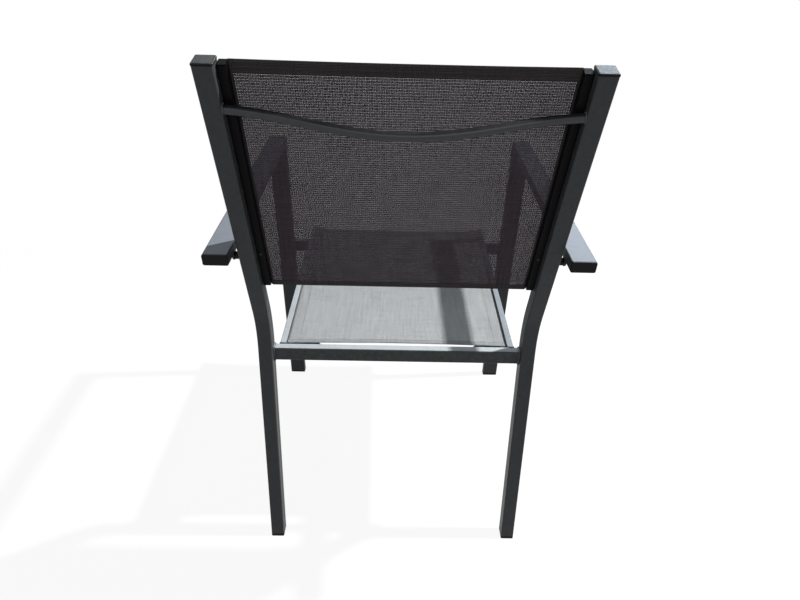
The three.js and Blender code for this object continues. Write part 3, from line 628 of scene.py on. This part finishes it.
for label, panel in panels.items():
    for (name, sign), ownCoat in zip(sides, panel["coats"]):
        finishPiece(f"{label}Rail{name}", slottedRail(panel, sign), ownCoat, panel["slot"],
                    [f"{label}_rail_{name.lower()}"])
panel = panels["seat"]
for sign in (1, -1):
    weld(outlineOf(chair["railWidth"] + rail["beadOut"], chair["railDepth"] + rail["beadOut"],
                   rail["corner"], railPlace(panel, sign, rail["beadIn"])), rail["bead"])
    for edge in (panel["outer"], panel["outer"] - chair["railWidth"]):
        foot = Vector((sign * edge, frontBarRear, frontBarTop + rail["footLift"]))
        weld([foot, foot - rearward * deep], rail["footBead"], closed=False)
print("rails made")

# Slings
slings = {
    "back": {"start": -4.5, "tail": 10.5, "sag": 1.5, "bowStart": 0.6, "bowEnd": 1.2, "hems": (16.5, 10),
             "side": 2.6, "rows": ((2.6, 8.6, 14.4), (2.4, 8.0)), "sideRow": None, "ripple": 8},
    "seat": {"start": 7, "tail": 0, "sag": 5, "bowStart": 9.5, "bowEnd": 4, "hems": (11, 20),
             "side": 21, "rows": ((2.4, 8.8), (2.4, 17.5)), "sideRow": 19.6, "ripple": 3},
}
cloth = {"grid": (64, 56), "thickness": 0.2, "edgeIn": 1.2, "intoSlot": 1.6, "endSag": 0.86,
         "middleSag": 0.14, "ripple": 0.25, "rippleScale": (0.012, 0.02), "hemGrid": 70, "sideGrid": 40,
         "foldGrid": 14, "hemHalf": 0.85, "fold": 2.4, "sideLap": 2, "stitch": 2.3, "stitchPitch": 3.1,
         "stitchHigh": 0.22, "stitchWide": 0.3, "stitchLift": 0.05, "stitchesIn": 3}


def archAt(label, x):
    # 1 in the middle between the rails and 0 at their slots
    return max(0.0, 1 - (x / (panels[label]["outer"] - chair["railWidth"])) ** 2)


def clothPoint(label, x, z):
    # a point of the sling's middle surface, in panel coordinates
    panel, sling, arch = panels[label], slings[label], archAt(label, x)
    share = (z - sling["start"]) / (panel["length"] + sling["tail"] - sling["start"])
    droop = cloth["endSag"] + cloth["middleSag"] * math.sin(math.pi * min(max(share, 0), 1))
    scaleX, scaleZ = cloth["rippleScale"]
    ripple = cloth["ripple"] * noise.noise(Vector((x * scaleX, z * scaleZ, sling["ripple"]))) * arch
    return Vector((x, -chair["slotDepth"] - sling["sag"] * arch * droop + ripple, z))


def edgeAt(label, x, far):
    # how far along the panel the near or far end of the sling lies
    panel, sling, arch = panels[label], slings[label], archAt(label, x)
    if far:
        return panel["length"] + sling["tail"] - sling["bowEnd"] * arch
    return sling["start"] + sling["bowStart"] * arch


def fromEdge(label, x, far, distance):
    edge = edgeAt(label, x, far)
    return clothPoint(label, x, edge - distance if far else edge + distance)


def slingBody(label):
    panel, (columns, rows) = panels[label], cloth["grid"]
    reach = panel["outer"] - chair["railWidth"] + cloth["intoSlot"]
    bm = bmesh.new()
    bmesh.ops.create_grid(bm, x_segments=columns, y_segments=rows, size=1)
    flat = bm.loops.layers.uv.new("flat")
    for vert in bm.verts:
        x = vert.co.x * reach
        first, last = edgeAt(label, x, False) + cloth["edgeIn"], edgeAt(label, x, True) - cloth["edgeIn"]
        vert.co = clothPoint(label, x, first + (last - first) * (vert.co.y + 1) / 2)
    for face in bm.faces:
        for loop in face.loops:
            loop[flat].uv = (loop.vert.co.x * mm, loop.vert.co.z * mm)
    return placed(bm, panel["axes"])


def foldedBand(label, spot, columns):
    # a flat closed band round the sheet; spot(a, b) gives the sheet's point at a along the band, from
    # -1 to 1, and b across it, from 0 to 1
    bm = bmesh.new()
    bmesh.ops.create_grid(bm, x_segments=columns, y_segments=cloth["foldGrid"], size=1)
    flat = bm.loops.layers.uv.new("flat")
    places = {}
    for vert in bm.verts:
        turn = vert.co.y * math.pi
        share = (1 - math.cos(turn)) / 2
        here = spot(vert.co.x, share)
        lift = cloth["hemHalf"] * min(1, abs(math.sin(turn)) * cloth["fold"]) * (1 if turn > 0 else -1)
        places[vert] = here
        vert.co = here + Vector((0, lift, 0))
    for face in bm.faces:
        for loop in face.loops:
            here = places[loop.vert]
            loop[flat].uv = (here.x * mm, here.z * mm)
    bmesh.ops.remove_doubles(bm, verts=bm.verts[:], dist=same["band"])
    bmesh.ops.holes_fill(bm, edges=[edge for edge in bm.edges if edge.is_boundary], sides=0)
    return placed(bm, panels[label]["axes"])


def stitchRow(label, spot, count):
    # places of stitches on both faces of the sheet; spot(n) gives a stitch's middle and its way
    parts = []
    for index in range(count):
        here, way = spot(index)
        for face in (1, -1):
            middle = here + Vector((0, face * (cloth["hemHalf"] + cloth["stitchLift"]), 0))
            turn = axes(middle, way, Vector((0, 1, 0)))
            scale = Matrix.Diagonal((cloth["stitch"] / 2, cloth["stitchHigh"], cloth["stitchWide"], 1))
            parts.append(panels[label]["axes"] @ turn @ scale)
    return parts


for label, panel in panels.items():
    sling = slings[label]
    inner = panel["outer"] - chair["railWidth"] - chair["seam"]
    clothFinish, hemFinish, threadFinish = ((backCloth, backHemCloth, backThread) if label == "back"
                                            else (seatCloth, seatHemCloth, seatThread))
    body = finishPiece(label + "Sling", slingBody(label), clothFinish, label + "_mesh", [label + "_sling"],
                       flatNormals=False, recalc=False)
    thick = body.modifiers.new("cloth", "SOLIDIFY")
    thick.thickness = cloth["thickness"] * mm
    thick.offset = 0
    extras, stitches = [], []
    for far in (False, True):
        hem, rows = sling["hems"][far], sling["rows"][far]

        def hemPoint(a, b, far=far, hem=hem):
            return fromEdge(label, a * inner, far, hem * b)

        extras.append(foldedBand(label, hemPoint, cloth["hemGrid"]))
        for row in rows:
            count = int(2 * (inner - cloth["stitchesIn"]) / cloth["stitchPitch"])

            def along(index, row=row, far=far, count=count):
                x = (index - (count - 1) / 2) * cloth["stitchPitch"]
                return fromEdge(label, x, far, row), across

            stitches += stitchRow(label, along, count)
    first, last = sling["start"] + sling["hems"][0], panel["length"] + sling["tail"] - sling["hems"][1]
    for sign in (1, -1):
        def sidePoint(a, b, sign=sign):
            lap = cloth["sideLap"]
            run = first - lap + (last - first + 2 * lap) * (a + 1) / 2
            return clothPoint(label, sign * (inner - sling["side"] * b), run)

        if label == "back":
            extras.append(foldedBand(label, sidePoint, cloth["sideGrid"]))
        if sling["sideRow"]:
            count = int((last - first) / cloth["stitchPitch"])

            def down(index, sign=sign):
                x = sign * (inner - sling["sideRow"])
                return clothPoint(label, x, first + (index + 0.5) * cloth["stitchPitch"]), Vector((0, 0, 1))

            stitches += stitchRow(label, down, count)
    hems = finishPiece(label + "Hems", together(extras), hemFinish, label + "_mesh", flatNormals=False)
    thread = bmesh.new()
    for matrix in stitches:
        bmesh.ops.create_icosphere(thread, subdivisions=1, radius=1, matrix=matrix)
    seams = finishPiece(label + "Stitching", thread, threadFinish, label + "_mesh", sharpAngle=180,
                        flatNormals=False)
    flatSize = (2 * (inner + chair["seam"] + cloth["intoSlot"]) * mm,
                (panel["length"] + sling["tail"] - sling["start"]) * mm)
print("slings made")

# Bowed bar behind the back
brace = {"radius": 6, "rings": 8, "drop": 54, "inset": 5.5, "bow": 38.5, "tilt": 15, "fullness": 0.32,
         "steps": 96, "bead": 1.0, "beadIn": 0.2, "beadOut": 0.3, "beadSteps": 24}
tilt = math.radians(brace["tilt"])
braceEnd = tubeTop + backForward * brace["inset"] - backUp * brace["drop"]
bowWay = -backForward * math.cos(tilt) - backUp * math.sin(tilt)
bracePath = []
for step in range(brace["steps"] + 1):
    x = (innerX - chair["seam"]) * (2 * step / brace["steps"] - 1)
    turn = math.pi * (1 + x / innerX) / 2
    bow = brace["bow"] * (brace["fullness"] * math.sin(turn)
                          + (1 - brace["fullness"]) * (1 - math.cos(2 * turn)) / 2)
    bracePath.append(braceEnd + across * x + bowWay * bow)
finishPiece("backBrace", swept(bracePath, brace["radius"], brace["rings"]), bowedCoat, "powder_coat",
            ["back_brace"], flatNormals=False)
for end in (bracePath[0], bracePath[-1]):
    centre = end + Vector((math.copysign(brace["beadIn"], -end.x), 0, 0))
    turns = [math.tau * step / brace["beadSteps"] for step in range(brace["beadSteps"])]
    ring = [centre + (backUp * math.cos(turn) + backForward * math.sin(turn))
            * (brace["radius"] + brace["beadOut"]) for turn in turns]
    weld(ring, brace["bead"])
print("brace made")

# Gussets, arm tabs and spacers
gusset = {"leg": 66, "tip": 6, "thick": 2.5, "drop": 10, "round": 0.4, "runs": ((10, 28), (42, 58)),
          "bead": 1.1}
tab = {"thick": 3, "wide": 14, "inset": 2, "boltDrop": 6.8, "spare": 1.5, "lobeFlat": 0.2, "round": 0.35,
       "bead": 0.9, "beadIn": 1}
spacer = {"radius": 6, "flange": 0.8, "segments": 40, "round": 0.6}
armUnder = armRear.z - chair["armDepth"] / math.cos(armPitch)
climb = math.tan(backLean) * math.tan(armPitch)
boltLine = (armUnder + (armRear.y - tubeMiddle.y) * math.tan(armPitch)
            - tab["boltDrop"] / math.cos(armPitch))
boltZ = (boltLine + climb * tubeMiddle.z) / (1 + climb)
bolt = Vector((0, tubeMiddle.y + (boltZ - tubeMiddle.z) * math.tan(backLean), boltZ))
armInside = armX - chair["armWidth"] / 2
high, low = tab["boltDrop"] + tab["spare"], tab["wide"] / 2
flangeX = chair["rearWidth"] / 2 + chair["seam"] + spacer["flange"]
spacerLength = armInside + tab["inset"] - flangeX - 2 * chair["seam"]
for name, sign in sides:
    cornerX = sign * (chair["seatWidth"] / 2 - chair["railWidth"] - chair["seam"])
    corner = Vector((cornerX, barFrontY - chair["seam"], chair["barTop"] - gusset["drop"] - gusset["thick"]))
    plate = bmesh.new()
    outline = ((0, 0), (gusset["leg"], 0), (gusset["leg"], gusset["tip"]), (gusset["tip"], gusset["leg"]),
               (0, gusset["leg"]))
    plate.faces.new([plate.verts.new(corner + Vector((-sign * inward, -forward, 0)))
                     for inward, forward in outline])
    pull(plate, plate.faces[:], (0, 0, gusset["thick"]))
    soften(plate, plate.edges[:], gusset["round"], rounds["edge"])
    finishPiece("seatGusset" + name, plate, frameCoat, "powder_coat", ["seat_gusset_" + name.lower()])
    for run in gusset["runs"]:
        for way in (Vector((-sign, 0, 0)), Vector((0, -1, 0))):
            weld([corner + way * run[0], corner + way * run[1]], gusset["bead"], closed=False)

    tabX = sign * (armInside + tab["inset"] + tab["thick"] / 2)
    lug = bmesh.new()
    corners = bmesh.ops.create_grid(lug, x_segments=1, y_segments=1, size=0.5)["verts"]
    bmesh.ops.scale(lug, vec=(tab["wide"], high + low, 1), verts=corners)
    bmesh.ops.translate(lug, vec=(0, (high - low) / 2, 0), verts=corners)
    lower = [vert for vert in corners if vert.co.y < 0]
    soften(lug, lower, low - tab["lobeFlat"], rounds["lobe"], "VERTICES")
    pull(lug, lug.faces[:], (0, 0, tab["thick"]))
    placed(lug, axes(bolt + across * (tabX - tab["thick"] / 2), rearward, upward))
    cutOff(lug, Vector((0, armRear.y, armUnder - chair["seam"])), armUp)
    soften(lug, lug.edges[:], tab["round"], rounds["edge"])
    finishPiece("armTab" + name, lug, frameCoat, "powder_coat", ["armrest_tab_" + name.lower()])
    for face in (tabX - tab["thick"] / 2, tabX + tab["thick"] / 2):
        ends = [Vector((face, bolt.y + part, armUnder + (armRear.y - bolt.y - part) * math.tan(armPitch)))
                for part in (-low + tab["beadIn"], low - tab["beadIn"])]
        weld(ends, tab["bead"], closed=False)

    sleeve = bmesh.new()
    bmesh.ops.create_cone(sleeve, cap_ends=True, segments=spacer["segments"], radius1=spacer["radius"],
                          radius2=spacer["radius"], depth=spacerLength)
    for height in (spacerLength / 2, -spacerLength / 2):
        roundRim(sleeve, height, spacer["round"])
    sleeveX = sign * (flangeX + chair["seam"] + spacerLength / 2)
    placed(sleeve, axes(bolt + across * sleeveX, rearward, upward))
    finishPiece("armSpacer" + name, sleeve, plugPlastic, "plug_plastic", ["armrest_spacer_" + name.lower()])
finishPiece("frameWelds", together(beads), weldCoat, "powder_coat", flatNormals=False)
print("small parts and welds made")

# Camera, from the photograph's perspective
view = {"pixels": 550.0, "width": 800, "sensor": 36, "near": 0.01, "place": (12.7, 691.7, 1002.1),
        "pitch": 32.03, "yaw": 1.1, "roll": 1.67}
pitch, yaw, roll = (math.radians(view[part]) for part in ("pitch", "yaw", "roll"))
ahead = Vector((-math.sin(yaw) * math.cos(pitch), -math.cos(yaw) * math.cos(pitch), -math.sin(pitch)))
horizon = ahead.cross(upward).normalized()
right = horizon * math.cos(roll) + horizon.cross(ahead) * math.sin(roll)
crest = right.cross(ahead)
lens = bpy.data.cameras.new("camera")
lens.sensor_width = view["sensor"]
lens.lens = view["sensor"] * view["pixels"] / view["width"]
lens.clip_start = view["near"]
camera = bpy.data.objects.new("camera", lens)
scene.collection.objects.link(camera)
eye = (Vector(view["place"]) + rearward * shiftY) * mm
camera.matrix_world = Matrix.Translation(eye) @ Matrix((right, crest, -ahead)).transposed().to_4x4()
scene.camera = camera

# Lights, floor and backdrop
lamps = {
    "key": {"place": (-2.146, -0.435, 3.35), "aim": (0, 0, 0.45), "size": (0.12, 0.12), "watts": 190,
            "tint": (1, 0.99, 0.97)},
    "frontPanel": {"place": (0, -2.9, 2.7), "aim": (0, 0.1, 0.5), "size": (3.6, 1.4), "watts": 8,
                   "tint": (0.93, 0.965, 1)},
    "rearPanel": {"place": (0.3, 3.2, 2.6), "aim": (0, 0.1, 0.5), "size": (2.6, 1.4), "watts": 25,
                  "tint": (0.95, 0.975, 1)},
    "glossCard": {"place": (-1.4, -2.7, 2.35), "aim": (0, 0.17, 0.6), "size": (1.5, 0.7), "watts": 78,
                  "tint": (0.76, 0.88, 1), "glossOnly": True},
    "sideCard": {"place": (1.15, -2.7, 3.9), "aim": (0.2, 0.05, 0.42), "size": (0.6, 0.7), "watts": 15,
                 "tint": (0.85, 0.93, 1), "glossOnly": True},
}
for name, lamp in lamps.items():
    light = bpy.data.lights.new(name, "AREA")
    light.shape = "RECTANGLE"
    light.size, light.size_y = lamp["size"]
    light.energy, light.color = lamp["watts"], lamp["tint"]
    fixture = bpy.data.objects.new(name, light)
    beam = Vector(lamp["aim"]) - Vector(lamp["place"])
    fixture.location = lamp["place"]
    fixture.rotation_euler = beam.to_track_quat("-Z", "Y").to_euler()
    fixture.visible_camera = False
    fixture.visible_diffuse = not lamp.get("glossOnly")
    scene.collection.objects.link(fixture)

ground = {"half": 14, "tone": (150, 150, 150), "seenTone": (92, 92, 92), "lift": 0.91, "from": 1.1,
          "to": 2.2}
floorGrid = bmesh.new()
bmesh.ops.create_grid(floorGrid, x_segments=1, y_segments=1, size=ground["half"])
floorMesh = bpy.data.meshes.new("floor")
floorGrid.to_mesh(floorMesh)
floorGrid.free()
floor = bpy.data.objects.new("floor", floorMesh)
scene.collection.objects.link(floor)
floorFinish = Finish("pale floor", 0.0)
seen = floorFinish.seen()
outward = floorFinish.node("VectorMath", {"operation": "LENGTH"},
                           {0: floorFinish.node("TexCoord", out="Object")}, out="Value")
away = floorFinish.ramp(outward, ground["from"], ground["to"])
black, white, lifted = (0, 0, 0, 1), (1, 1, 1, 1), (ground["lift"],) * 3 + (1,)
glow = floorFinish.mix(away, lifted, white)
near = floorFinish.mix(away, shade(*ground["seenTone"]), black)
floorFinish.set(Base_Color=floorFinish.mix(seen, shade(*ground["tone"]), near), Roughness=1.0,
                Emission_Color=floorFinish.mix(seen, black, glow), Emission_Strength=1.0)
floorMesh.materials.append(floorFinish.material)

backdrop = {"tint": (0.94, 0.97, 1, 1), "strength": 0.18}
world = bpy.data.worlds.new("studio")
scene.world = world
world.use_nodes = True
sky = Board(world.node_tree)
plain = sky.node("Background", None, {"Color": backdrop["tint"], "Strength": backdrop["strength"]})
bright = sky.node("Background", None, {"Color": white, "Strength": 1.0})
sky.node("OutputWorld", None, {"Surface": sky.node("MixShader", None, {0: sky.seen(), 1: plain, 2: bright})})
scene.view_settings.view_transform = "Standard"
print("camera and lights set")
